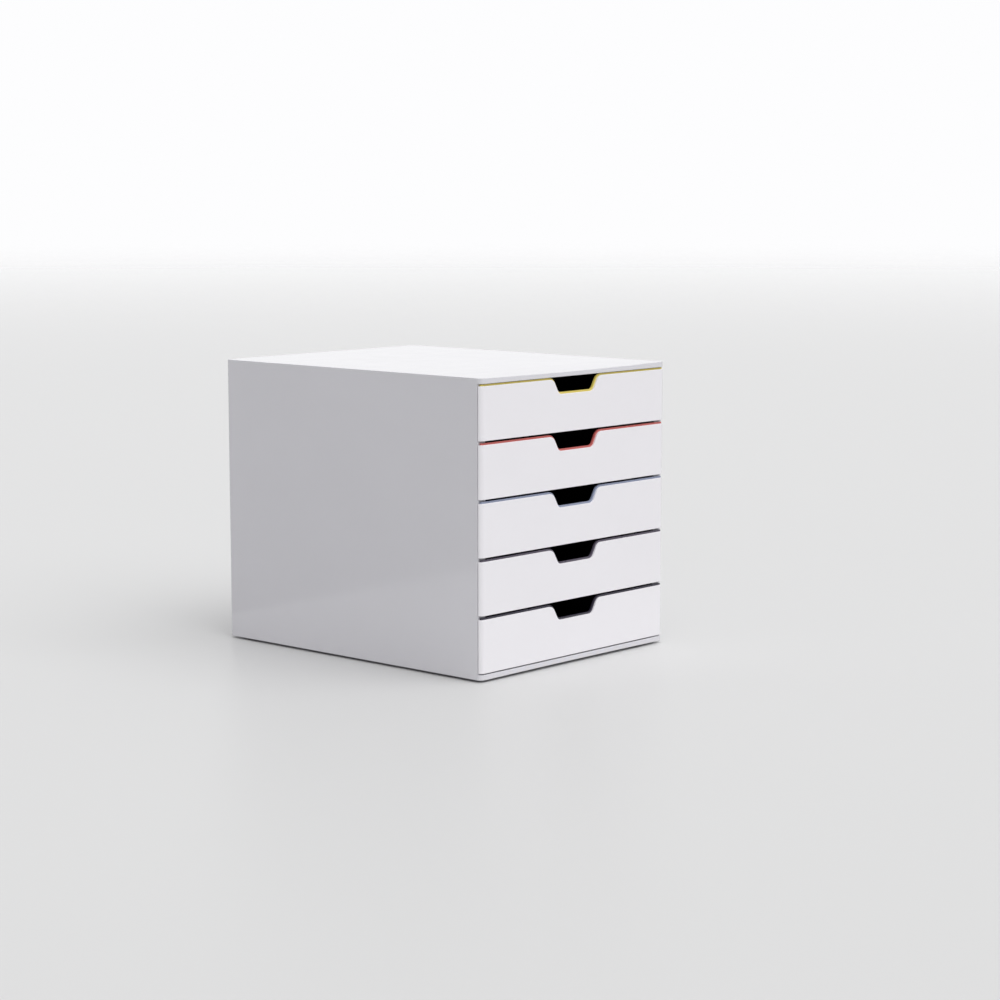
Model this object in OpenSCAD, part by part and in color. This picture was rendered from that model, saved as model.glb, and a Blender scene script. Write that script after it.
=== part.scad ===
// Desk drawer box: a glossy sleeve housing with five closed drawers for sheets of paper.
// Each drawer is a dark tray that hangs on ledges at both sides, with a coloured trim and
// a white front plate on its nose. Millimetres, +Z up, the drawers open towards -Y, and the
// origin is the middle of the footprint on the table.

/* [Housing] */
// Width over the side walls
body_w = 280; // [266:1:330]
// Depth from the drawer fronts to the rear edge
body_d = 356; // [340:1:420]
// Thickness of the side walls
wall_t = 3; // [2:0.1:4]
// Thickness of the top and bottom panels
panel_t = 3.4; // [2.4:0.1:4.4]
// Radius of the four upright corners
corner_r = 5.5; // [4.6:0.1:9]
// Height of the thick front edge of the top panel
top_rim_h = 5.3; // [5:0.1:8]
// Height of the thick front edge of the bottom panel
base_rim_h = 5.1; // [5:0.1:8]
// Depth of both thick front edges
rim_d = 14; // [8:1:30]
// Dip of the outer front edges at mid-width
edge_dip = 1.4; // [0.4:0.1:2]
// Length over which that dip fades out towards the rear
dip_run = 45; // [20:1:90]
// Height of the stiffening ribs inside the top and bottom panels
panel_rib_h = 1.5; // [0.8:0.1:1.6]
// Number of ribs inside each of those panels
panel_ribs = 6; // [3:1:9]

/* [Drawer rows] */
// Height of a white front plate
front_h = 52.1; // [49:0.1:64]
// Height of the coloured lip that shows above the plate
lip_h = 1.7; // [1:0.1:2.4]
// Open gap between a lip and the plate above it
row_gap = 2.1; // [1.2:0.1:5]
// Open gap between the top lip and the top panel
top_gap = 0.5; // [0.4:0.1:3]
// Open gap between the lowest plate and the bottom panel
base_gap = 1.2; // [0.6:0.1:3]

/* [Drawer front] */
// Thickness of the white plate
plate_t = 1.8; // [1.2:0.1:2.6]
// Thickness of the coloured trim behind it
trim_t = 2.2; // [1.4:0.1:3]
// Width of the plate's turned-back ends
return_w = 2.5; // [2:0.1:6]
// Height of the plate's turned-back lower edge
return_h = 1.5; // [1:0.1:4]
// Gap between the closed front and the side walls' front edges
front_gap = 0.6; // [0.3:0.1:1.5]
// Diameter of the studs that hold plate, trim and tray together
stud_d = 4; // [3:0.1:6]
// Clearance round a stud
stud_play = 0.15; // [0.1:0.05:0.3]

/* [Finger cut-out] */
// Width of the cut-out at the plate's top edge
cut_top_w = 69; // [58:1:90]
// Width of the cut-out at its lower edge
cut_base_w = 52; // [44:1:66]
// Depth of the cut-out below the plate's top edge
cut_h = 14.8; // [12.5:0.1:18]
// Radius of the cut-out's outer corners
cut_outer_r = 8.5; // [4:0.1:10]
// Radius of the cut-out's inner corners
cut_inner_r = 7; // [4:0.1:8.5]

/* [Tray] */
// Thickness of the tray's walls
tray_wall_t = 1.9; // [1.4:0.1:2.6]
// Thickness of the tray's floor
tray_floor_t = 2; // [1.4:0.1:3]
// Height of the tray's side walls
tray_h = 44.8; // [34:0.1:46]
// Height of the tray's underside above the plate's lower edge
tray_lift = 1.2; // [0.6:0.1:2.4]
// Distance from the plate's top edge down to the top of the tray's front wall
nose_drop = 0.6; // [0.2:0.1:3]
// Radius of the tray's upright corners
tray_corner_r = 7; // [5:0.5:14]
// Radius of the tray's lower edges
tray_edge_r = 4; // [3:0.1:8]
// Thickness of the flanges that the tray hangs on
flange_t = 2.2; // [1.6:0.1:3]
// Height of the low ribs on the tray's floor
floor_rib_h = 0.6; // [0.3:0.1:1.2]
// Width of a floor rib
floor_rib_w = 2.4; // [1.5:0.1:4]
// Number of floor ribs
floor_ribs = 7; // [3:2:11]
// Free space between the closed tray and the rear panel
rear_space = 7; // [4:0.5:20]

/* [Runners] */
// Width of each side's front edge, side wall and runner panel together
side_w = 11.4; // [9.5:0.1:14]
// Thickness of a runner panel
web_t = 2; // [1.6:0.1:3]
// Width of the ledge that a flange slides on
ledge_w = 6.2; // [5:0.1:7.5]
// Thickness of the ledge at its free edge
ledge_t = 1.8; // [1.2:0.1:3]
// Width of the guide above the flange
guide_w = 2.4; // [1.6:0.1:3]
// Thickness of the guide
guide_t = 2; // [1.4:0.1:3]
// Upright play between flange and ledge
slide_gap = 0.3; // [0.2:0.05:0.6]
// Sideways play between flange and runner panel
side_play = 0.8; // [0.4:0.1:1.4]
// Gap between tray wall and ledge
ledge_play = 1.4; // [0.6:0.1:3]
// How far a drawer pulls out before it meets its stops
travel = 250; // [150:1:290]
// Length of the stop blocks behind the front edge
stop_l = 20; // [10:1:40]
// Height of the stop blocks
stop_h = 4; // [3:0.1:5]
// Length of the stop tab on each flange
tab_l = 8; // [5:0.5:14]

/* [Rear panel] */
// Thickness of the rear panel
rear_t = 2.5; // [2:0.1:4]
// How far the rear panel is set in from the housing's rear edge
rear_recess = 1.2; // [0.5:0.1:4]
// Width of the raised frame round the rear panel's field
rear_frame_w = 12; // [8:1:30]
// Depth of the field inside that frame
rear_field = 0.8; // [0.3:0.1:1.2]
// Clearance round the rear panel and round each foot
fit_gap = 0.2; // [0.1:0.05:0.4]

/* [Feet] */
// Height of the feet below the housing
foot_h = 2.5; // [2:0.1:6]
// Diameter of a foot
foot_d = 16; // [10:1:26]
// Depth of the pocket that a foot is set into
foot_seat = 1.2; // [0.8:0.1:1.6]
// Distance from the housing's sides to a foot's centre
foot_inset = 20; // [16:1:40]
// Rounding of a foot's lower edge
foot_round = 0.8; // [0.3:0.1:1.5]

/* [Hidden] */
drawer_count = 5;
drawer_names = [for (i = [1 : drawer_count]) str("drawer_", i)];
part_names = ["_front", "_trim", "_tray"];
side_names = ["left", "right"];
end_names = ["front", "rear"];
rail_names = ["ledge_", "guide_", "stop_"];

fine = 96;          // circle steps of the visible roundings
over = 1;           // overshoot of a cutting shape past the face that it cuts
arc_over = 0.005;   // how far a rounding's arc passes the two lines that it joins

// Colours as the object shows them
housing_grey = [0.86, 0.86, 0.88];
runner_grey = [0.74, 0.74, 0.76];
glide_white = [0.88, 0.88, 0.86];
plate_white = [0.95, 0.95, 0.96];
tray_dark = [0.13, 0.13, 0.15];
rubber_grey = [0.25, 0.25, 0.27];
trim_colours = [
    [0.88, 0.79, 0.36],     // yellow, top drawer
    [0.80, 0.38, 0.35],     // coral red
    [0.56, 0.61, 0.70],     // pale grey blue
    [0.36, 0.33, 0.40],     // mauve grey
    [0.24, 0.23, 0.30]      // dark slate
];

// Heights
pitch = front_h + lip_h + row_gap;
mouth_low = foot_h + base_rim_h;
first_z = mouth_low + base_gap;
mouth_high = first_z + (drawer_count - 1) * pitch + front_h + lip_h + top_gap;
total_h = mouth_high + top_rim_h;
inner_low = foot_h + panel_t;
inner_high = total_h - panel_t;
function drawer_z(i) = first_z + (drawer_count - i) * pitch;

// Depths
front_y = -body_d / 2;
rear_y = body_d / 2;
front_t = plate_t + trim_t;
side_front_y = front_y + front_t + front_gap;
rear_panel_y = rear_y - rear_recess - rear_t;
tray_front_y = front_y + front_t;
tray_rear_y = rear_panel_y - rear_space;
tray_l = tray_rear_y - tray_front_y;

// Widths, measured from the middle
inner_x = body_w / 2 - wall_t;
runner_x = body_w / 2 - side_w;
root_x = runner_x + web_t / 2;
ledge_x = runner_x - ledge_w;
guide_x = runner_x - guide_w;
flange_x = runner_x - side_play;
tray_x = ledge_x - ledge_play;

// Flange, ledge, guide and stop heights, measured from a plate's lower edge
flange_top = tray_lift + tray_h;
ledge_top = flange_top - flange_t - slide_gap;
guide_low = flange_top + 2 * slide_gap;
stop_y = side_front_y + stop_l;
tab_y = stop_y + travel + slide_gap;
tab_h = guide_low - flange_top + stop_h - 2 * slide_gap;
nose_top = front_h - nose_drop;
tray_cut_grow = 1.5;    // how far the tray's cut-out stays behind the plate's

// Studs, as [x, z] from the middle and from a plate's lower edge
stud_x = tray_x - tray_corner_r - stud_d;
stud_low = front_h / 4;
stud_high = nose_top - cut_h / 2 - stud_d;
studs = [
    [-stud_x, stud_low], [-stud_x / 3, stud_low], [stud_x / 3, stud_low], [stud_x, stud_low],
    [-stud_x, stud_high], [stud_x, stud_high]
];

// Rectangle with true arcs at its corners, centred
module rounded_rect(w, l, r) {
    square([w - 2 * r, l], center = true);
    square([w, l - 2 * r], center = true);
    for (x = [-1, 1], y = [-1, 1])
        translate([x * (w / 2 - r), y * (l / 2 - r)]) circle(r, $fn = fine);
}

// Cross-section of a basin: square on top, lower corners rounded, standing on y = 0
module basin_section(w, h, r) {
    translate([-w / 2, r]) square([w, h - r]);
    translate([-w / 2 + r, 0]) square([w - 2 * r, h]);
    for (x = [-1, 1])
        translate([x * (w / 2 - r), r]) circle(r, $fn = fine);
}

// Solid basin form: upright corners and lower edges rounded, flat open top
module basin(w, l, h, plan_r, edge_r) {
    intersection() {
        linear_extrude(h) rounded_rect(w, l, plan_r);
        translate([0, l / 2, 0]) rotate([90, 0, 0]) linear_extrude(l) basin_section(w, h, edge_r);
        translate([-w / 2, 0, 0]) rotate([90, 0, 90]) linear_extrude(w) basin_section(l, h, edge_r);
    }
}

// Upright prism on the housing's outline
module housing_prism(low, high) {
    translate([0, 0, low]) linear_extrude(high - low) rounded_rect(body_w, body_d, corner_r);
}

// Box between two corners
module span(a, b) {
    translate(a) cube(b - a);
}

function unit(v) = v / norm(v);

// Sliver between the corner p and the arc of radius r that rounds it towards a and b. It
// reaches past the corner's two lines, so that it cuts them cleanly.
module corner_sliver(p, a, b, r) {
    u = unit(a - p);
    v = unit(b - p);
    half = acos(u * v) / 2;
    reach = r / tan(half);
    centre = p + unit(u + v) * r / sin(half);
    grow = 1 + over / 2 / r;
    difference() {
        polygon([for (q = [p, p + u * reach, centre, p + v * reach]) centre + (q - centre) * grow]);
        translate(centre) circle(r + arc_over, $fn = fine);
    }
}

// Finger cut-out seen from the front, `inward` smaller all round than the white plate's, in a
// wall whose top edge is at top_z
module cut_opening(inward, top_z) {
    plate_cut_z = front_h - cut_h;
    lean = (cut_top_w - cut_base_w) / 2 / cut_h;
    inset = inward * sqrt(1 + lean * lean);
    low_z = plate_cut_z + inward;
    low = [cut_base_w / 2 + lean * inward - inset, low_z];
    high = [cut_base_w / 2 + lean * (top_z - plate_cut_z) - inset, top_z];
    difference() {
        polygon([
            [-low[0], low_z], low, high, [high[0], top_z + over],
            [-high[0], top_z + over], [-high[0], top_z]
        ]);
        for (side = [0, 1])
            mirror([side, 0]) corner_sliver(low, [0, low_z], high, cut_inner_r - inward);
    }
    for (side = [0, 1])
        mirror([side, 0]) corner_sliver(high, [body_w / 2, top_z], low, cut_outer_r + inward);
}

// Stands a drawing in X and Z up as a slab from y0 back to y1
module slab(y0, y1) {
    translate([0, y1, 0]) rotate([90, 0, 0]) linear_extrude(y1 - y0) children();
}

// Cylinders on the stud positions of a drawer, from the plate's back to the tray's inner face
module stud_rods(radius, y0, y1) {
    for (p = studs)
        translate([p[0], y1, p[1]]) rotate([90, 0, 0]) cylinder(r = radius, h = y1 - y0, $fn = 48);
}

// Long shallow scoop that lets an outer front edge dip at mid-width, for an edge at height 0
module edge_scoop() {
    half_w = body_w / 2 - corner_r;
    scoop_r = (half_w * half_w + edge_dip * edge_dip) / (2 * edge_dip);
    tilt = atan(edge_dip / dip_run);
    translate([0, front_y, scoop_r - edge_dip])
        rotate([90 + tilt, 0, 0])
            cylinder(r = scoop_r, h = 3 * dip_run, center = true, $fn = 3600);
}

module housing_shell() {
    rib_step = (rear_panel_y - (front_y + rim_d)) / panel_ribs;
    rib_x = inner_x + wall_t / 2;
    color(housing_grey) {
        difference() {
            housing_prism(foot_h, total_h);
            // room for the drawers, open at the front and at the rear
            span([-inner_x, front_y + rim_d, inner_low], [inner_x, rear_y + over, inner_high]);
            span([-inner_x, front_y - over, mouth_low], [inner_x, front_y + rim_d + over, mouth_high]);
            // the side walls stop behind the drawer fronts
            span([-body_w, front_y - over, mouth_low], [body_w, side_front_y, mouth_high]);
            // dipped outer edges of the two rims
            translate([0, 0, total_h]) edge_scoop();
            translate([0, 0, foot_h]) mirror([0, 0, 1]) edge_scoop();
            for (x = [-1, 1], y = [-1, 1])
                translate([x * (body_w / 2 - foot_inset), y * (body_d / 2 - foot_inset), foot_h - over])
                    cylinder(d = foot_d + 2 * fit_gap, h = foot_seat + over, $fn = fine);
        }
        // cross ribs, the last pair right in front of the rear panel
        for (k = [1 : panel_ribs]) {
            y = front_y + rim_d + k * rib_step;
            span([-rib_x, y - wall_t, inner_low - panel_t / 2], [rib_x, y, inner_low + panel_rib_h]);
            span([-rib_x, y - wall_t, inner_high - panel_rib_h], [rib_x, y, inner_high + panel_t / 2]);
        }
    }
}

module rear_panel() {
    w = 2 * (inner_x - fit_gap);
    h = inner_high - inner_low - 2 * fit_gap;
    color(housing_grey)
        translate([0, 0, (inner_low + inner_high) / 2])
            difference() {
                slab(rear_panel_y, rear_panel_y + rear_t) rounded_rect(w, h, wall_t / 2);
                slab(rear_panel_y + rear_t - rear_field, rear_panel_y + rear_t + over)
                    rounded_rect(w - 2 * rear_frame_w, h - 2 * rear_frame_w, corner_r);
            }
}

// Puts a form that is drawn on the right onto the left (0) or the right (1) side
module on_side(side) {
    mirror([1 - side, 0, 0]) children();
}

// Ledge with a sloping underside that a tray's flange slides on, let into the runner panel
module ledge(i) {
    color(glide_white)
        translate([0, 0, drawer_z(i)])
            slab(side_front_y + web_t, rear_panel_y - web_t)
                polygon([
                    [root_x, ledge_top], [ledge_x, ledge_top], [ledge_x, ledge_top - ledge_t],
                    [root_x, ledge_top - ledge_t - (root_x - ledge_x) / 2]
                ]);
}

// Guide strip above a flange, let into the runner panel
module guide(i) {
    color(glide_white)
        translate([0, 0, drawer_z(i)])
            span([guide_x, stop_y, guide_low], [root_x, rear_panel_y - web_t, guide_low + guide_t]);
}

// Soft block in front of a guide that stops the tray's tab
module stop_block(i) {
    color(rubber_grey)
        translate([0, 0, drawer_z(i)])
            span([ledge_x, side_front_y + web_t, guide_low], [root_x, stop_y, guide_low + stop_h]);
}

// Runner panel with a rim that closes it against the side wall, ribs that back up the ledges,
// and the seats of ledges, guides and stop blocks
module runner_panel() {
    flange_back = side_front_y + wall_t;
    rear_flange = rear_panel_y - wall_t;
    color(runner_grey)
        difference() {
            union() {
                difference() {
                    span([runner_x, side_front_y, mouth_low], [inner_x, rear_panel_y, mouth_high]);
                    span([runner_x + web_t, flange_back, mouth_low + web_t],
                         [inner_x + over, rear_flange, mouth_high - web_t]);
                }
                for (i = [1 : drawer_count])
                    translate([0, 0, drawer_z(i) + ledge_top])
                        span([root_x, flange_back - over, -web_t], [inner_x, rear_flange + over, 0]);
            }
            for (i = [1 : drawer_count]) {
                ledge(i);
                guide(i);
                stop_block(i);
            }
        }
}

// Foot with a rounded lower edge, set into its pocket
module foot(x_side, y_side) {
    r = foot_d / 2;
    color(rubber_grey)
        translate([x_side * (body_w / 2 - foot_inset), y_side * (body_d / 2 - foot_inset), 0])
            rotate_extrude($fn = fine)
                intersection() {
                    union() {
                        square([r - foot_round, foot_h + foot_seat]);
                        translate([0, foot_round]) square([r, foot_h + foot_seat - foot_round]);
                        translate([r - foot_round, foot_round]) circle(foot_round, $fn = fine);
                    }
                    square([r, foot_h + foot_seat]);
                }
}

// White plate with turned-back ends and lower edge, and the studs on its back
module drawer_front(i) {
    color(plate_white)
        intersection() {
            housing_prism(0, total_h);
            translate([0, 0, drawer_z(i)]) {
                slab(front_y, front_y + plate_t)
                    difference() {
                        translate([-body_w / 2, 0]) square([body_w, front_h]);
                        cut_opening(0, front_h);
                    }
                for (side = [0, 1])
                    mirror([side, 0, 0])
                        span([body_w / 2 - return_w, front_y, 0], [body_w / 2, front_y + front_t, front_h]);
                span([-body_w / 2, front_y, 0], [body_w / 2, front_y + front_t, return_h]);
                stud_rods(stud_d / 2, front_y, tray_front_y + tray_wall_t);
            }
        }
}

// Coloured trim between plate and tray; its lip shows above the plate and in the cut-out
module drawer_trim(i) {
    half_w = body_w / 2 - return_w;
    color(trim_colours[i - 1])
        translate([0, 0, drawer_z(i)])
            difference() {
                slab(front_y + plate_t, front_y + front_t)
                    difference() {
                        translate([-half_w, return_h]) square([2 * half_w, front_h + lip_h - return_h]);
                        cut_opening(lip_h, front_h + lip_h);
                    }
                stud_rods(stud_d / 2 + stud_play, front_y, tray_front_y + over);
            }
}

// Tray with hanging flanges, stop tabs and a taller front wall that carries the front
module drawer_tray(i) {
    nose_x = tray_x - tray_corner_r;
    mid_y = (tray_front_y + tray_rear_y) / 2;
    room_x = tray_x - tray_wall_t;
    floor_z = tray_lift + tray_floor_t;
    rib_step = 2 * (room_x - tray_edge_r) / (floor_ribs + 1);
    color(tray_dark)
        translate([0, 0, drawer_z(i)]) {
            difference() {
                union() {
                    translate([0, mid_y, tray_lift])
                        basin(2 * tray_x, tray_l, tray_h, tray_corner_r, tray_edge_r);
                    translate([0, mid_y, flange_top - flange_t])
                        linear_extrude(flange_t) rounded_rect(2 * flange_x, tray_l, tray_corner_r);
                    span([-nose_x, tray_front_y, flange_top - flange_t],
                         [nose_x, tray_front_y + tray_wall_t, nose_top]);
                }
                translate([0, mid_y, floor_z])
                    basin(2 * room_x, tray_l - 2 * tray_wall_t, tray_h, tray_corner_r - tray_wall_t,
                          tray_edge_r - tray_wall_t / 2);
                slab(tray_front_y - over, tray_front_y + tray_wall_t + over)
                    cut_opening(-tray_cut_grow, nose_top);
                stud_rods(stud_d / 2 + stud_play, tray_front_y - over, tray_front_y + tray_wall_t + over);
            }
            for (k = [1 : floor_ribs])
                translate([k * rib_step - room_x + tray_edge_r - floor_rib_w / 2,
                           tray_front_y + 2 * tray_corner_r, floor_z - floor_rib_h])
                    cube([floor_rib_w, tray_l - 4 * tray_corner_r, 2 * floor_rib_h]);
            // stop tabs, upright in front and sloping behind
            for (side = [0, 1])
                mirror([side, 0, 0])
                    translate([ledge_x, tab_y, flange_top])
                        rotate([90, 0, 90])
                            linear_extrude(guide_x - slide_gap - ledge_x)
                                polygon([[0, -flange_t / 2], [0, tab_h], [tab_l / 2, tab_h], [tab_l, -flange_t / 2]]);
        }
}

housing_shell();
rear_panel();
on_side(0) runner_panel();  // runner_panel_left
on_side(1) runner_panel();  // runner_panel_right
for (i = [1 : drawer_count], side = [0, 1]) {
    rail_end = str(i, "_", side_names[side]);
    on_side(side) ledge(i);
    on_side(side) guide(i);
    on_side(side) stop_block(i);
}
foot(-1, -1);  // foot_front_left
foot(1, -1);  // foot_front_right
foot(-1, 1);  // foot_rear_left
foot(1, 1);  // foot_rear_right
for (i = [1 : drawer_count]) {
    drawer_front(i);
    drawer_trim(i);
    drawer_tray(i);
}
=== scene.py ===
import math

import bmesh
import bpy
from mathutils import Matrix, Vector


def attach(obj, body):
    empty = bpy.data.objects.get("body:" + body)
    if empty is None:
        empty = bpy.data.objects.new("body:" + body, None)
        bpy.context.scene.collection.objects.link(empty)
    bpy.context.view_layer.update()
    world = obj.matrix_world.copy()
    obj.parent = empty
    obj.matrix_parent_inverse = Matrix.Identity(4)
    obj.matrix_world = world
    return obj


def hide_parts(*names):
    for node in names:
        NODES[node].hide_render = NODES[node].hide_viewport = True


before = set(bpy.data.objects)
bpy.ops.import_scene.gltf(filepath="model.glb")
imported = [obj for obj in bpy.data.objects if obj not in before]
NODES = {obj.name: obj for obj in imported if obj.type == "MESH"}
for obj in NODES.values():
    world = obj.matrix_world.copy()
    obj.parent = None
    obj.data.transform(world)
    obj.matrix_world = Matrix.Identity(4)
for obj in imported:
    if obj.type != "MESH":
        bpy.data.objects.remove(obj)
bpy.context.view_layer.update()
scene = bpy.context.scene


# ---------------------------------------------------------------- shader helpers


def link(tree, source, out_name, target, in_name):
    tree.links.new(source.outputs[out_name], target.inputs[in_name])


def node(tree, kind, **values):
    """A new shader node, with its own settings or its sockets' values set by name."""
    made = tree.nodes.new(kind)
    for key, value in values.items():
        if hasattr(made, key):
            setattr(made, key, value)
        else:
            made.inputs[key.replace("_", " ")].default_value = value
    return made


def new_material(name):
    """A material with nothing but its output node."""
    mat = bpy.data.materials.new(name)
    mat.use_nodes = True
    tree = mat.node_tree
    tree.nodes.clear()
    return mat, tree, node(tree, "ShaderNodeOutputMaterial")


def linear(rgb):
    """sRGB values from 0 to 255 as scene-linear ones."""
    return tuple(
        v / 255 / 12.92 if v / 255 <= 0.04045 else ((v / 255 + 0.055) / 1.055) ** 2.4
        for v in rgb
    )


def noise(tree, coords, scale, detail, rough, stretch=None):
    """A noise texture on the object's own coordinates."""
    made = node(tree, "ShaderNodeTexNoise", Scale=scale, Detail=detail, Roughness=rough)
    if stretch:
        mapping = node(tree, "ShaderNodeMapping", Scale=stretch)
        link(tree, coords, "Object", mapping, "Vector")
        link(tree, mapping, "Vector", made, "Vector")
    else:
        link(tree, coords, "Object", made, "Vector")
    return made


def ranged(tree, source, out_name, to_range, from_range):
    """Maps an output from one range onto another."""
    made = node(tree, "ShaderNodeMapRange")
    for end, values in (("From", from_range), ("To", to_range)):
        for limit, value in zip(("Min", "Max"), values):
            made.inputs[f"{end} {limit}"].default_value = value
    link(tree, source, out_name, made, "Value")
    return made


def mixed(tree, share, share_name, first, first_name, second, second_name):
    """A blend from one shader to another, by the value of `share`."""
    mix = node(tree, "ShaderNodeMixShader")
    link(tree, share, share_name, mix, 0)
    link(tree, first, first_name, mix, 1)
    link(tree, second, second_name, mix, 2)
    return mix


# ---------------------------------------------------------------- materials

# Noise patterns as scale, detail and roughness
FLOW_MARKS = (9.0, 3.0, 0.55)
FLOW_STRETCH = (1.0, 1.0, 1.7)
MOTTLE = (420.0, 2.0, 0.6)
GLOSS_PATCHES = (31.0, 4.0, 0.6)
GLOSS_RANGE = (0.3, 0.7)
SWELL = (14.0, 1.0, 0.4)
GRAIN_DETAIL, GRAIN_ROUGHNESS = 3.0, 0.65

MOTTLE_SHARE = 0.25
TONE_ENDS = (0.35, 0.9)
SWELL_HEIGHT = 0.00002
EDGE_SAMPLES = 6
PLASTIC_IOR, RUBBER_IOR = 1.5, 1.45


def plastic(
    name,
    rgb,
    rough,
    spread=0.04,
    tone=0.012,
    grain_scale=2600.0,
    grain=0.000004,
    ior=PLASTIC_IOR,
    edge=0.0,
):
    """Moulded plastic: soft flow marks in its colour, a slightly uneven gloss, a slight wave of
    the moulded face and the fine grain of the mould. `edge` rounds the look of sharp edges, for
    CAD nodes."""
    mat, tree, out = new_material(name)
    bsdf = node(tree, "ShaderNodeBsdfPrincipled", IOR=ior)
    link(tree, bsdf, "BSDF", out, "Surface")
    coords = node(tree, "ShaderNodeTexCoord")

    flow = noise(tree, coords, *FLOW_MARKS, FLOW_STRETCH)
    mottle = noise(tree, coords, *MOTTLE)
    blend = node(tree, "ShaderNodeMath", operation="MULTIPLY_ADD")
    link(tree, mottle, "Fac", blend, 0)
    blend.inputs[1].default_value = MOTTLE_SHARE
    link(tree, flow, "Fac", blend, 2)
    ramp = node(tree, "ShaderNodeValToRGB")
    for end, position, change in zip(ramp.color_ramp.elements, TONE_ENDS, (1 - tone, 1 + tone)):
        end.position = position
        end.color = (*[min(1, c * change) for c in linear(rgb)], 1)
    link(tree, blend, "Value", ramp, "Fac")
    link(tree, ramp, "Color", bsdf, "Base Color")

    patches = noise(tree, coords, *GLOSS_PATCHES)
    gloss = ranged(tree, patches, "Fac", (rough - spread / 2, rough + spread / 2), GLOSS_RANGE)
    link(tree, gloss, "Result", bsdf, "Roughness")

    swell = noise(tree, coords, *SWELL)
    swell_bump = node(tree, "ShaderNodeBump", Strength=1.0, Distance=SWELL_HEIGHT)
    link(tree, swell, "Fac", swell_bump, "Height")
    if edge:
        rounded = node(tree, "ShaderNodeBevel", samples=EDGE_SAMPLES, Radius=edge)
        link(tree, rounded, "Normal", swell_bump, "Normal")
    grains = noise(tree, coords, grain_scale, GRAIN_DETAIL, GRAIN_ROUGHNESS)
    grain_bump = node(tree, "ShaderNodeBump", Strength=1.0, Distance=grain)
    link(tree, grains, "Fac", grain_bump, "Height")
    link(tree, swell_bump, "Normal", grain_bump, "Normal")
    link(tree, grain_bump, "Normal", bsdf, "Normal")
    return mat


def trim_plastic(name, rgb):
    return plastic(name, rgb, 0.28, grain=0.000006)


def rubber(name, rgb, rough):
    return plastic(
        name,
        rgb,
        rough,
        tone=0.06,
        grain_scale=900.0,
        grain=0.00003,
        ior=RUBBER_IOR,
        edge=0.0004,
    )


MATERIALS = {
    "housing_plastic": plastic(
        "housing_plastic", (219, 218, 223), 0.075, spread=0.03, edge=0.0006
    ),
    "runner_plastic": plastic(
        "runner_plastic", (196, 196, 200), 0.42, grain_scale=1700.0, grain=0.000009, edge=0.0003
    ),
    "front_plastic": plastic("front_plastic", (240, 238, 242), 0.1, spread=0.03),
    "glide_plastic": plastic("glide_plastic", (222, 221, 216), 0.3, grain=0.000005, edge=0.0003),
    "tray_plastic": plastic(
        "tray_plastic",
        (50, 49, 55),
        0.44,
        tone=0.05,
        grain_scale=1500.0,
        grain=0.00001,
        edge=0.0004,
    ),
    "trim_yellow": trim_plastic("trim_yellow", (219, 200, 99)),
    "trim_red": trim_plastic("trim_red", (192, 97, 92)),
    "trim_pale_blue": trim_plastic("trim_pale_blue", (143, 151, 174)),
    "trim_mauve": trim_plastic("trim_mauve", (86, 79, 93)),
    "trim_slate": trim_plastic("trim_slate", (54, 50, 64)),
    "foot_rubber": rubber("foot_rubber", (70, 70, 74), 0.75),
    "stop_rubber": rubber("stop_rubber", (62, 62, 66), 0.65),
}


def own_slot(obj):
    """The name of the material slot that a CAD node came with."""
    return obj.data.materials[0].name.split(".")[0]


# ---------------------------------------------------------------- sizes
#
# In millimetres, as in the CAD part. Points turn to metres when a mesh is made.

FRONT_Y = -178.0
HALF_W = 140.0
CORNER_R = 5.5
FLAT_W = HALF_W - CORNER_R
TOTAL_H, FOOT_H = 292.0, 2.5

DRAWERS = 5
FIRST_Z, PITCH = 8.8, 55.9
PLATE_H, LIP_H = 52.1, 1.7
PLATE_T, FRONT_T = 1.8, 4.0
RETURN_W, RETURN_H = 2.5, 1.5
TRAY_WALL = 1.9
CUT_TOP_W, CUT_BASE_W, CUT_H = 69.0, 52.0, 14.8
CUT_OUTER_R, CUT_INNER_R = 8.5, 7.0
STUD_R = 2.0
STUD_X, STUD_LOW, STUD_HIGH = 110.0, 13.025, 40.1
STUDS = [(x, STUD_LOW) for x in (-STUD_X, -STUD_X / 3, STUD_X / 3, STUD_X)]
STUDS += [(x, STUD_HIGH) for x in (-STUD_X, STUD_X)]

# Radii of the rounded edges, and steps of the rounded forms
PLATE_EDGE, RETURN_EDGE, TRIM_EDGE, STUD_EDGE = 0.45, 0.25, 0.3, 0.3
PLATE_EDGE_STEPS, SMALL_EDGE_STEPS = 5, 4
CUT_OUTER_STEPS, CUT_INNER_STEPS = 14, 12
BEND_STEPS = 8
ROD_SIDES = 40

# How far each rim's outer front edge is moved at mid-width, by the height of its face
EDGE_DIPS = {TOTAL_H: -1.1, FOOT_H: 0.5}
DIP_RUN, DIP_STEPS_X, DIP_STEPS_Y = 45.0, 26, 8
# Faces nearer than this to such a height belong to the shell's shallow pocket and go
POCKET_DEPTH = 0.5
# Tolerances for joining points, for cutting, and for telling at which height a point lies
WELD, CUT_REACH, LEVEL_REACH = 0.001, 0.0001, 0.01

SHARP_ANGLE = math.radians(40)
FLAT_FACE_WEIGHT = 90


# ---------------------------------------------------------------- forms


def unit(x, y):
    length = math.hypot(x, y)
    return x / length, y / length


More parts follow.
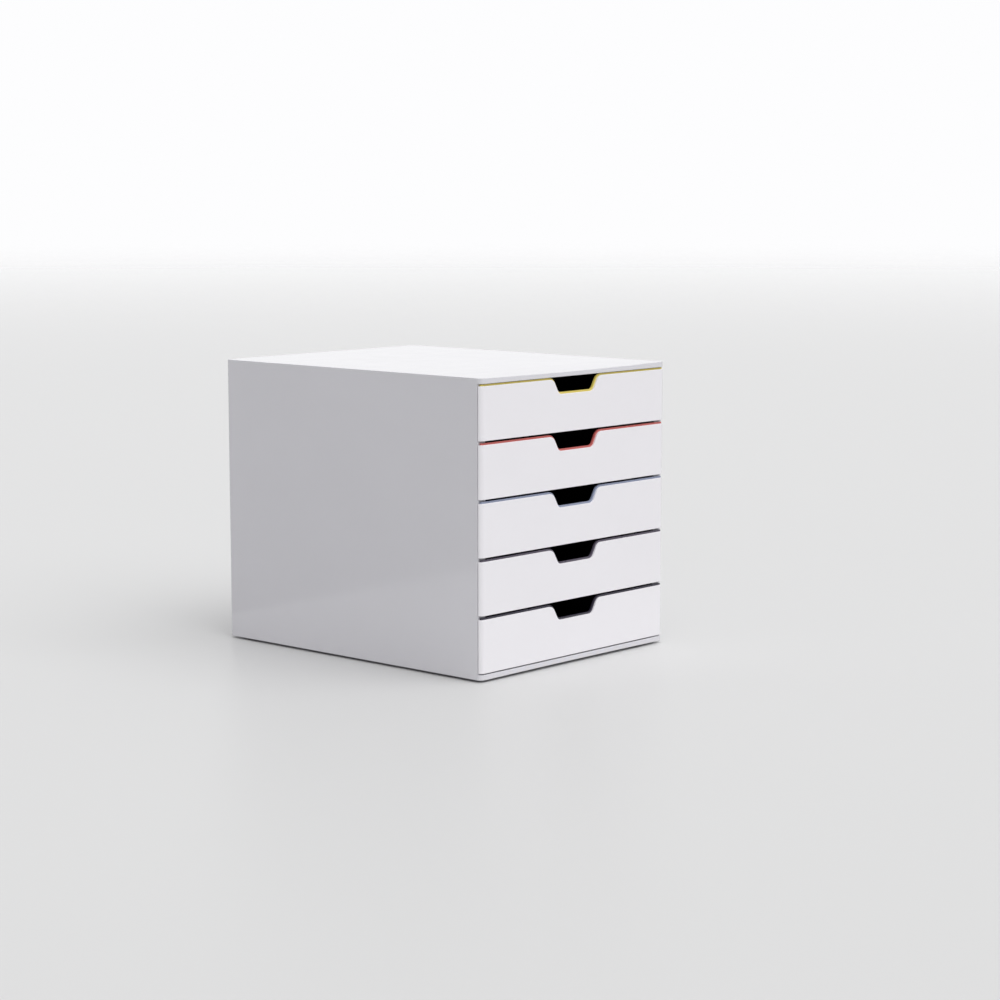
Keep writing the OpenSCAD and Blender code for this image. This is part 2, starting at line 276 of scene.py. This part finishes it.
def fillet(p, a, b, r, steps):
    """Points of the arc of radius r that rounds the corner p, from its a side to its b side."""
    ux, uy = unit(a[0] - p[0], a[1] - p[1])
    vx, vy = unit(b[0] - p[0], b[1] - p[1])
    half = math.acos(ux * vx + uy * vy) / 2
    wx, wy = unit(ux + vx, uy + vy)
    cx, cy = p[0] + wx * r / math.sin(half), p[1] + wy * r / math.sin(half)
    reach = r / math.tan(half)
    start = math.atan2(p[1] + uy * reach - cy, p[0] + ux * reach - cx)
    end = math.atan2(p[1] + vy * reach - cy, p[0] + vx * reach - cx)
    sweep = (end - start + math.pi) % (2 * math.pi) - math.pi
    turns = [start + sweep * k / steps for k in range(steps + 1)]
    return [(cx + r * math.cos(t), cy + r * math.sin(t)) for t in turns]


def cut_line(inward, top):
    """The finger cut-out's line, from the top edge on its right round to the one on its left."""
    lean = (CUT_TOP_W - CUT_BASE_W) / 2 / CUT_H
    inset = inward * math.hypot(1, lean)
    base = PLATE_H - CUT_H
    low = (CUT_BASE_W / 2 + lean * inward - inset, base + inward)
    high = (CUT_BASE_W / 2 + lean * (top - base) - inset, top)
    half = fillet(high, (HALF_W, top), low, CUT_OUTER_R + inward, CUT_OUTER_STEPS)
    half += fillet(low, high, (0, low[1]), CUT_INNER_R - inward, CUT_INNER_STEPS)
    return half + [(-x, z) for x, z in reversed(half)]


def inset_ring(points, inset):
    """A closed counter-clockwise line, moved inward by `inset` with mitred corners."""
    moved = []
    for i, (x, y) in enumerate(points):
        px, py = points[i - 1]
        nx, ny = points[(i + 1) % len(points)]
        ax, ay = unit(x - px, y - py)
        bx, by = unit(nx - x, ny - y)
        mx, my = unit(-ay - by, ax + bx)
        grow = inset / (-ay * mx + ax * my)
        moved.append((x + mx * grow, y + my * grow))
    return moved


def between_rings(n, k):
    """The faces that join ring k to ring k + 1, where each ring has n points."""
    a, b = k * n, (k + 1) * n
    return [(b + i, b + (i + 1) % n, a + (i + 1) % n, a + i) for i in range(n)]


def rounded_slab(outline, thick, place, front_r, back_r, strips=0, steps=SMALL_EDGE_STEPS):
    """Points and faces of a slab whose front and back outlines are rounded. `outline` is
    counter-clockwise seen from the front and starts with its lower edge. The outer `strips`
    columns at each end have faces of their own, so that they can follow a bend. `place` turns
    (x, z, depth) into a point."""
    rings = []
    for k in range(steps + 1):
        turn = math.pi / 2 * k / steps
        rings.append((front_r * (1 - math.sin(turn)), front_r * (1 - math.cos(turn))))
    if back_r:
        for k in range(steps, -1, -1):
            turn = math.pi / 2 * k / steps
            rings.append((back_r * (1 - math.sin(turn)), thick - back_r * (1 - math.cos(turn))))
    else:
        rings.append((0, thick))
    verts, faces, n = [], [], len(outline)
    for inset, depth in rings:
        verts += [place(x, z, depth) for x, z in inset_ring(outline, inset)]
    for k in range(len(rings) - 1):
        faces += between_rings(n, k)
    low = 2 * strips + 1
    flat = [(strips, strips + 1, *range(3 * strips + 2, n - strips))]
    for k in range(strips):
        flat.append((k, k + 1, n - 2 - k, n - 1 - k))
        flat.append((low - k - 1, low - k, low + 1 + k, low + 2 + k))
    last = (len(rings) - 1) * n
    faces += flat + [tuple(last + i for i in reversed(face)) for face in flat]
    return verts, faces


def rod(x, z, r, y0, y1, edge):
    """Points and faces of a round rod along Y with a rounded rear end."""
    verts, faces = [], []
    shoulder = 0.3 * edge
    for radius, y in ((r, y0), (r, y1 - edge), (r - shoulder, y1 - shoulder), (r - edge, y1)):
        turns = [2 * math.pi * i / ROD_SIDES for i in range(ROD_SIDES)]
        verts += [(x + radius * math.cos(t), y, z + radius * math.sin(t)) for t in turns]
    for k in range(3):
        faces += between_rings(ROD_SIDES, k)
    faces.append(tuple(3 * ROD_SIDES + i for i in reversed(range(ROD_SIDES))))
    return verts, faces


def make(name, parts, slot, body, stands_for):
    """One object from several closed forms, with smooth faces and sharp corners kept."""
    verts, faces = [], []
    for points, polygons in parts:
        base = len(verts)
        verts += points
        faces += [tuple(base + i for i in polygon) for polygon in polygons]
    mesh = bpy.data.meshes.new(name)
    mesh.from_pydata([tuple(v / 1000 for v in p) for p in verts], [], faces)
    mesh.validate()
    mesh.polygons.foreach_set("use_smooth", [True] * len(mesh.polygons))
    mesh.set_sharp_from_angle(angle=SHARP_ANGLE)
    obj = bpy.data.objects.new(name, mesh)
    scene.collection.objects.link(obj)
    weighted = obj.modifiers.new("weighted", "WEIGHTED_NORMAL")
    weighted.keep_sharp = True
    weighted.weight = FLAT_FACE_WEIGHT
    obj.data.materials.append(MATERIALS[slot])
    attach(obj, body)
    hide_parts(stands_for)
    return obj


# ---------------------------------------------------------------- drawer fronts


def bent_plate(z0):
    """Places a plate's points so that its two ends follow the housing's upright corners."""
    bend = math.acos((CORNER_R - FRONT_T) / CORNER_R) * CORNER_R

    def place(x, z, depth):
        s = abs(x) - FLAT_W
        if s <= 0:
            return x, FRONT_Y + depth, z0 + z
        share = s / bend
        rho = CORNER_R - depth * (1 + (RETURN_W / PLATE_T - 1) * min(1, share))
        turn = share * math.acos((CORNER_R - FRONT_T) / rho)
        side = math.copysign(FLAT_W + rho * math.sin(turn), x)
        return side, FRONT_Y + CORNER_R - rho * math.cos(turn), z0 + z

    return place, bend


def behind_plate(z0):
    """Places points in the flat layer behind a plate."""

    def place(x, z, depth):
        return x, FRONT_Y + PLATE_T + depth, z0 + z

    return place


def front_parts(z0):
    """The white plate, its turned-back lower edge and its studs."""
    place, bend = bent_plate(z0)
    columns = [FLAT_W + bend * k / BEND_STEPS for k in range(BEND_STEPS + 1)]
    outline = [(-x, 0) for x in reversed(columns)] + [(x, 0) for x in columns]
    outline += [(x, PLATE_H) for x in reversed(columns)] + cut_line(0, PLATE_H)
    outline += [(-x, PLATE_H) for x in columns]
    parts = [rounded_slab(outline, PLATE_T, place, PLATE_EDGE, 0, BEND_STEPS, PLATE_EDGE_STEPS)]

    w = HALF_W - RETURN_W
    lower = [(-w, 0), (w, 0), (w, RETURN_H), (-w, RETURN_H)]
    parts.append(rounded_slab(lower, FRONT_T - PLATE_T, behind_plate(z0), 0, RETURN_EDGE))
    stud_end = FRONT_Y + FRONT_T + TRAY_WALL
    for x, z in STUDS:
        parts.append(rod(x, z0 + z, STUD_R, FRONT_Y + PLATE_T, stud_end, STUD_EDGE))
    return parts


def trim_parts(z0):
    """The coloured layer behind the plate, whose lip shows above it and in the cut-out."""
    w, top = HALF_W - RETURN_W, PLATE_H + LIP_H
    outline = [(-w, RETURN_H), (w, RETURN_H), (w, top), *cut_line(LIP_H, top), (-w, top)]
    return [rounded_slab(outline, FRONT_T - PLATE_T, behind_plate(z0), TRIM_EDGE, TRIM_EDGE)]


for number in range(1, DRAWERS + 1):
    body = f"drawer_{number}"
    z0 = FIRST_Z + (DRAWERS - number) * PITCH
    trim_slot = own_slot(NODES[f"{body}_trim"])
    make(f"{body}_plate", front_parts(z0), "front_plastic", body, f"{body}_front")
    make(f"{body}_lip", trim_parts(z0), trim_slot, body, f"{body}_trim")


# ---------------------------------------------------------------- housing sleeve


def sleeve_parts():
    """The shell's form with a plain top and a plain underside, whose outer front edges dip at
    mid-width."""
    shell = NODES["housing_shell"]
    form = bmesh.new()
    form.from_mesh(shell.data)
    form.transform(Matrix.Scale(1000, 4) @ shell.matrix_world)
    bmesh.ops.remove_doubles(form, verts=form.verts[:], dist=WELD)

    # New plain faces in place of those on the top and the underside and in their pocket
    for height, dip in EDGE_DIPS.items():
        flat = {
            f for f in form.faces if all(abs(v.co.z - height) < POCKET_DEPTH for v in f.verts)
        }
        around = [e for e in form.edges if sum(f in flat for f in e.link_faces) == 1]
        outward = (0, 0, math.copysign(1, -dip))
        bmesh.ops.delete(form, geom=list(flat), context="FACES")
        bmesh.ops.triangle_fill(form, edges=around, use_beauty=True, normal=outward)

    # Enough points near the front edges to follow the dip
    cuts = [
        ((-FLAT_W + 2 * FLAT_W * k / DIP_STEPS_X, 0, 0), (1, 0, 0))
        for k in range(1, DIP_STEPS_X)
    ]
    cuts += [
        ((0, FRONT_Y + DIP_RUN * k / DIP_STEPS_Y, 0), (0, 1, 0))
        for k in range(1, DIP_STEPS_Y + 1)
    ]
    for point, normal in cuts:
        near = [f for f in form.faces if min(v.co.y for v in f.verts) < FRONT_Y + DIP_RUN]
        near += list({e for f in near for e in f.edges}) + list({v for f in near for v in f.verts})
        bmesh.ops.bisect_plane(form, geom=near, dist=CUT_REACH, plane_co=point, plane_no=normal)

    # The dip, deepest at mid-width on the edge and fading out towards the corners and the rear
    for v in form.verts:
        for height, dip in EDGE_DIPS.items():
            share = 1 - (v.co.y - FRONT_Y) / DIP_RUN
            if abs(v.co.z - height) < LEVEL_REACH and share > 0 and abs(v.co.x) < FLAT_W:
                v.co.z += dip * (1 - (v.co.x / FLAT_W) ** 2) * share**2 * (3 - 2 * share)
    bmesh.ops.recalc_face_normals(form, faces=form.faces[:])
    form.verts.index_update()
    verts = [tuple(v.co) for v in form.verts]
    faces = [tuple(v.index for v in f.verts) for f in form.faces]
    form.free()
    return [(verts, faces)]


make("housing_sleeve", sleeve_parts(), "housing_plastic", "housing", "housing_shell")


# ------------------------------------------------- finishes of the carried-over nodes

for obj in NODES.values():
    if obj.hide_render:
        continue
    slot = own_slot(obj)
    obj.data.materials.clear()
    obj.data.materials.append(MATERIALS[slot])


# ---------------------------------------------------------------- stage
#
# Sizes and places in metres.

FLOOR_SIZE = 400.0
FLOOR_COLOUR = (211, 211, 211)
FLOOR_ROUGHNESS, FLOOR_SPECULAR = 0.4, 0.15
FLOOR_FADE = (3.0, 14.0)

# Dark cloths low over the floor, one at each side behind the box and one in front, that only
# its glossy faces mirror: x from and to, y from and to, grey tone
CLOTHS = {
    "left": (-6.0, -0.2, 0.28, 6.0, 110),
    "right": (0.2, 6.0, 0.28, 6.0, 110),
    "front": (-6.0, 6.0, -6.0, -0.394, 180),
}
CLOTH_Z = 0.001
CLOTH_ROUGHNESS = 0.9


def floor_material():
    """A plain pale floor that fades into the backdrop far away. It is open from below, so that
    the underside can be looked at."""
    mat, tree, out = new_material("stage_floor")
    bsdf = node(
        tree,
        "ShaderNodeBsdfPrincipled",
        Base_Color=(*linear(FLOOR_COLOUR), 1),
        Roughness=FLOOR_ROUGHNESS,
        Specular_IOR_Level=FLOOR_SPECULAR,
    )
    clear = node(tree, "ShaderNodeBsdfTransparent")
    coords = node(tree, "ShaderNodeTexCoord")
    away = node(tree, "ShaderNodeVectorMath", operation="LENGTH")
    link(tree, coords, "Object", away, 0)
    far = ranged(tree, away, "Value", (0.0, 1.0), FLOOR_FADE)
    far.interpolation_type = "SMOOTHSTEP"
    side = node(tree, "ShaderNodeNewGeometry")
    either = node(tree, "ShaderNodeMath", operation="MAXIMUM")
    link(tree, far, "Result", either, 0)
    link(tree, side, "Backfacing", either, 1)
    mix = mixed(tree, either, "Value", bsdf, "BSDF", clear, "BSDF")
    link(tree, mix, "Shader", out, "Surface")
    return mat


def cloth_material(tone):
    """Plain cloth, seen from above only."""
    mat, tree, out = new_material("stage_cloth")
    bsdf = node(
        tree,
        "ShaderNodeBsdfPrincipled",
        Base_Color=(*linear((tone, tone, tone)), 1),
        Roughness=CLOTH_ROUGHNESS,
        Specular_IOR_Level=0.0,
    )
    clear = node(tree, "ShaderNodeBsdfTransparent")
    side = node(tree, "ShaderNodeNewGeometry")
    mix = mixed(tree, side, "Backfacing", bsdf, "BSDF", clear, "BSDF")
    link(tree, mix, "Shader", out, "Surface")
    return mat


def plane(name, width, depth, matrix, mat):
    """A flat sheet that belongs to the stage."""
    x, y = width / 2, depth / 2
    mesh = bpy.data.meshes.new(name)
    mesh.from_pydata([(-x, -y, 0), (x, -y, 0), (x, y, 0), (-x, y, 0)], [], [(0, 1, 2, 3)])
    obj = bpy.data.objects.new(name, mesh)
    scene.collection.objects.link(obj)
    obj.matrix_world = matrix
    obj.data.materials.append(mat)
    return obj


plane("stage_floor", FLOOR_SIZE, FLOOR_SIZE, Matrix.Identity(4), floor_material())

for side_name, (x0, x1, y0, y1, tone) in CLOTHS.items():
    middle = Matrix.Translation(((x0 + x1) / 2, (y0 + y1) / 2, CLOTH_Z))
    sheet = plane(f"stage_cloth_{side_name}", x1 - x0, y1 - y0, middle, cloth_material(tone))
    sheet.visible_camera = False
    sheet.visible_diffuse = False
    sheet.visible_shadow = False
    sheet.visible_transmission = False


# ---------------------------------------------------------------- light

BACKDROP_COLOUR = (253, 253, 254)
FILL_COLOUR, FILL_STRENGTH = (0.98, 0.985, 1.0, 1), 0.15

# Broad soft lamps: direction towards the lamp, strength, spread in degrees
SUNS = {
    "key": ((0.0, -0.55, 0.84), 2.4, 70),
    "left": ((-0.87, -0.1, 0.42), 0.56, 80),
    "right": ((0.87, -0.1, 0.42), 0.85, 80),
    "rear": ((0.0, 0.87, 0.42), 0.75, 80),
}

# A weak fill light, and a plain white backdrop for the camera, for mirrors and for glass
world = bpy.data.worlds.new("studio")
scene.world = world
world.use_nodes = True
tree = world.node_tree
tree.nodes.clear()
out = node(tree, "ShaderNodeOutputWorld")
seen = node(tree, "ShaderNodeBackground", Color=(*linear(BACKDROP_COLOUR), 1), Strength=1.0)
fill = node(tree, "ShaderNodeBackground", Color=FILL_COLOUR, Strength=FILL_STRENGTH)
path = node(tree, "ShaderNodeLightPath")
either = node(tree, "ShaderNodeMath", operation="ADD", use_clamp=True)
also = node(tree, "ShaderNodeMath", operation="ADD", use_clamp=True)
link(tree, path, "Is Camera Ray", either, 0)
link(tree, path, "Is Glossy Ray", either, 1)
link(tree, either, "Value", also, 0)
link(tree, path, "Is Transmission Ray", also, 1)
mix = mixed(tree, also, "Value", fill, "Background", seen, "Background")
link(tree, mix, "Shader", out, "Surface")

for name, (toward, strength, spread) in SUNS.items():
    data = bpy.data.lights.new(name, "SUN")
    data.energy = strength
    data.angle = math.radians(spread)
    lamp = bpy.data.objects.new(name, data)
    scene.collection.objects.link(lamp)
    lamp.rotation_euler = Vector(toward).to_track_quat("Z", "Y").to_euler()
    lamp.visible_glossy = False


# ---------------------------------------------------------------- camera
#
# Fitted to the photograph's edge lines. Distances in metres, the lens as a share of the
# sensor's width.

AZIMUTH, ELEVATION, ROLL = (math.radians(v) for v in (-48.22, 7.63, -0.004))
DISTANCE, ASIDE, RAISED, BASE_Z = 2.588, 0.05752, 0.14342, 0.0025
SENSOR_W, LENS_RATIO = 36.0, 2.479
CLIP_START, CLIP_END = 0.05, 200.0

back = Vector(
    (
        math.sin(AZIMUTH) * math.cos(ELEVATION),
        -math.cos(AZIMUTH) * math.cos(ELEVATION),
        math.sin(ELEVATION),
    )
)
right = (-back).cross(Vector((0, 0, 1))).normalized()
up = right.cross(-back)
across = math.cos(ROLL) * right + math.sin(ROLL) * up
upward = -math.sin(ROLL) * right + math.cos(ROLL) * up
place = back * DISTANCE + across * ASIDE + upward * RAISED + Vector((0, 0, BASE_Z))
cam_data = bpy.data.cameras.new("camera")
cam_data.sensor_width = SENSOR_W
cam_data.lens = SENSOR_W * LENS_RATIO
cam_data.clip_start = CLIP_START
cam_data.clip_end = CLIP_END
cam = bpy.data.objects.new("camera", cam_data)
scene.collection.objects.link(cam)
turn = Matrix((across, upward, back)).transposed().to_4x4()
cam.matrix_world = Matrix.Translation(place) @ turn
scene.camera = cam

scene.view_settings.view_transform = "Standard"
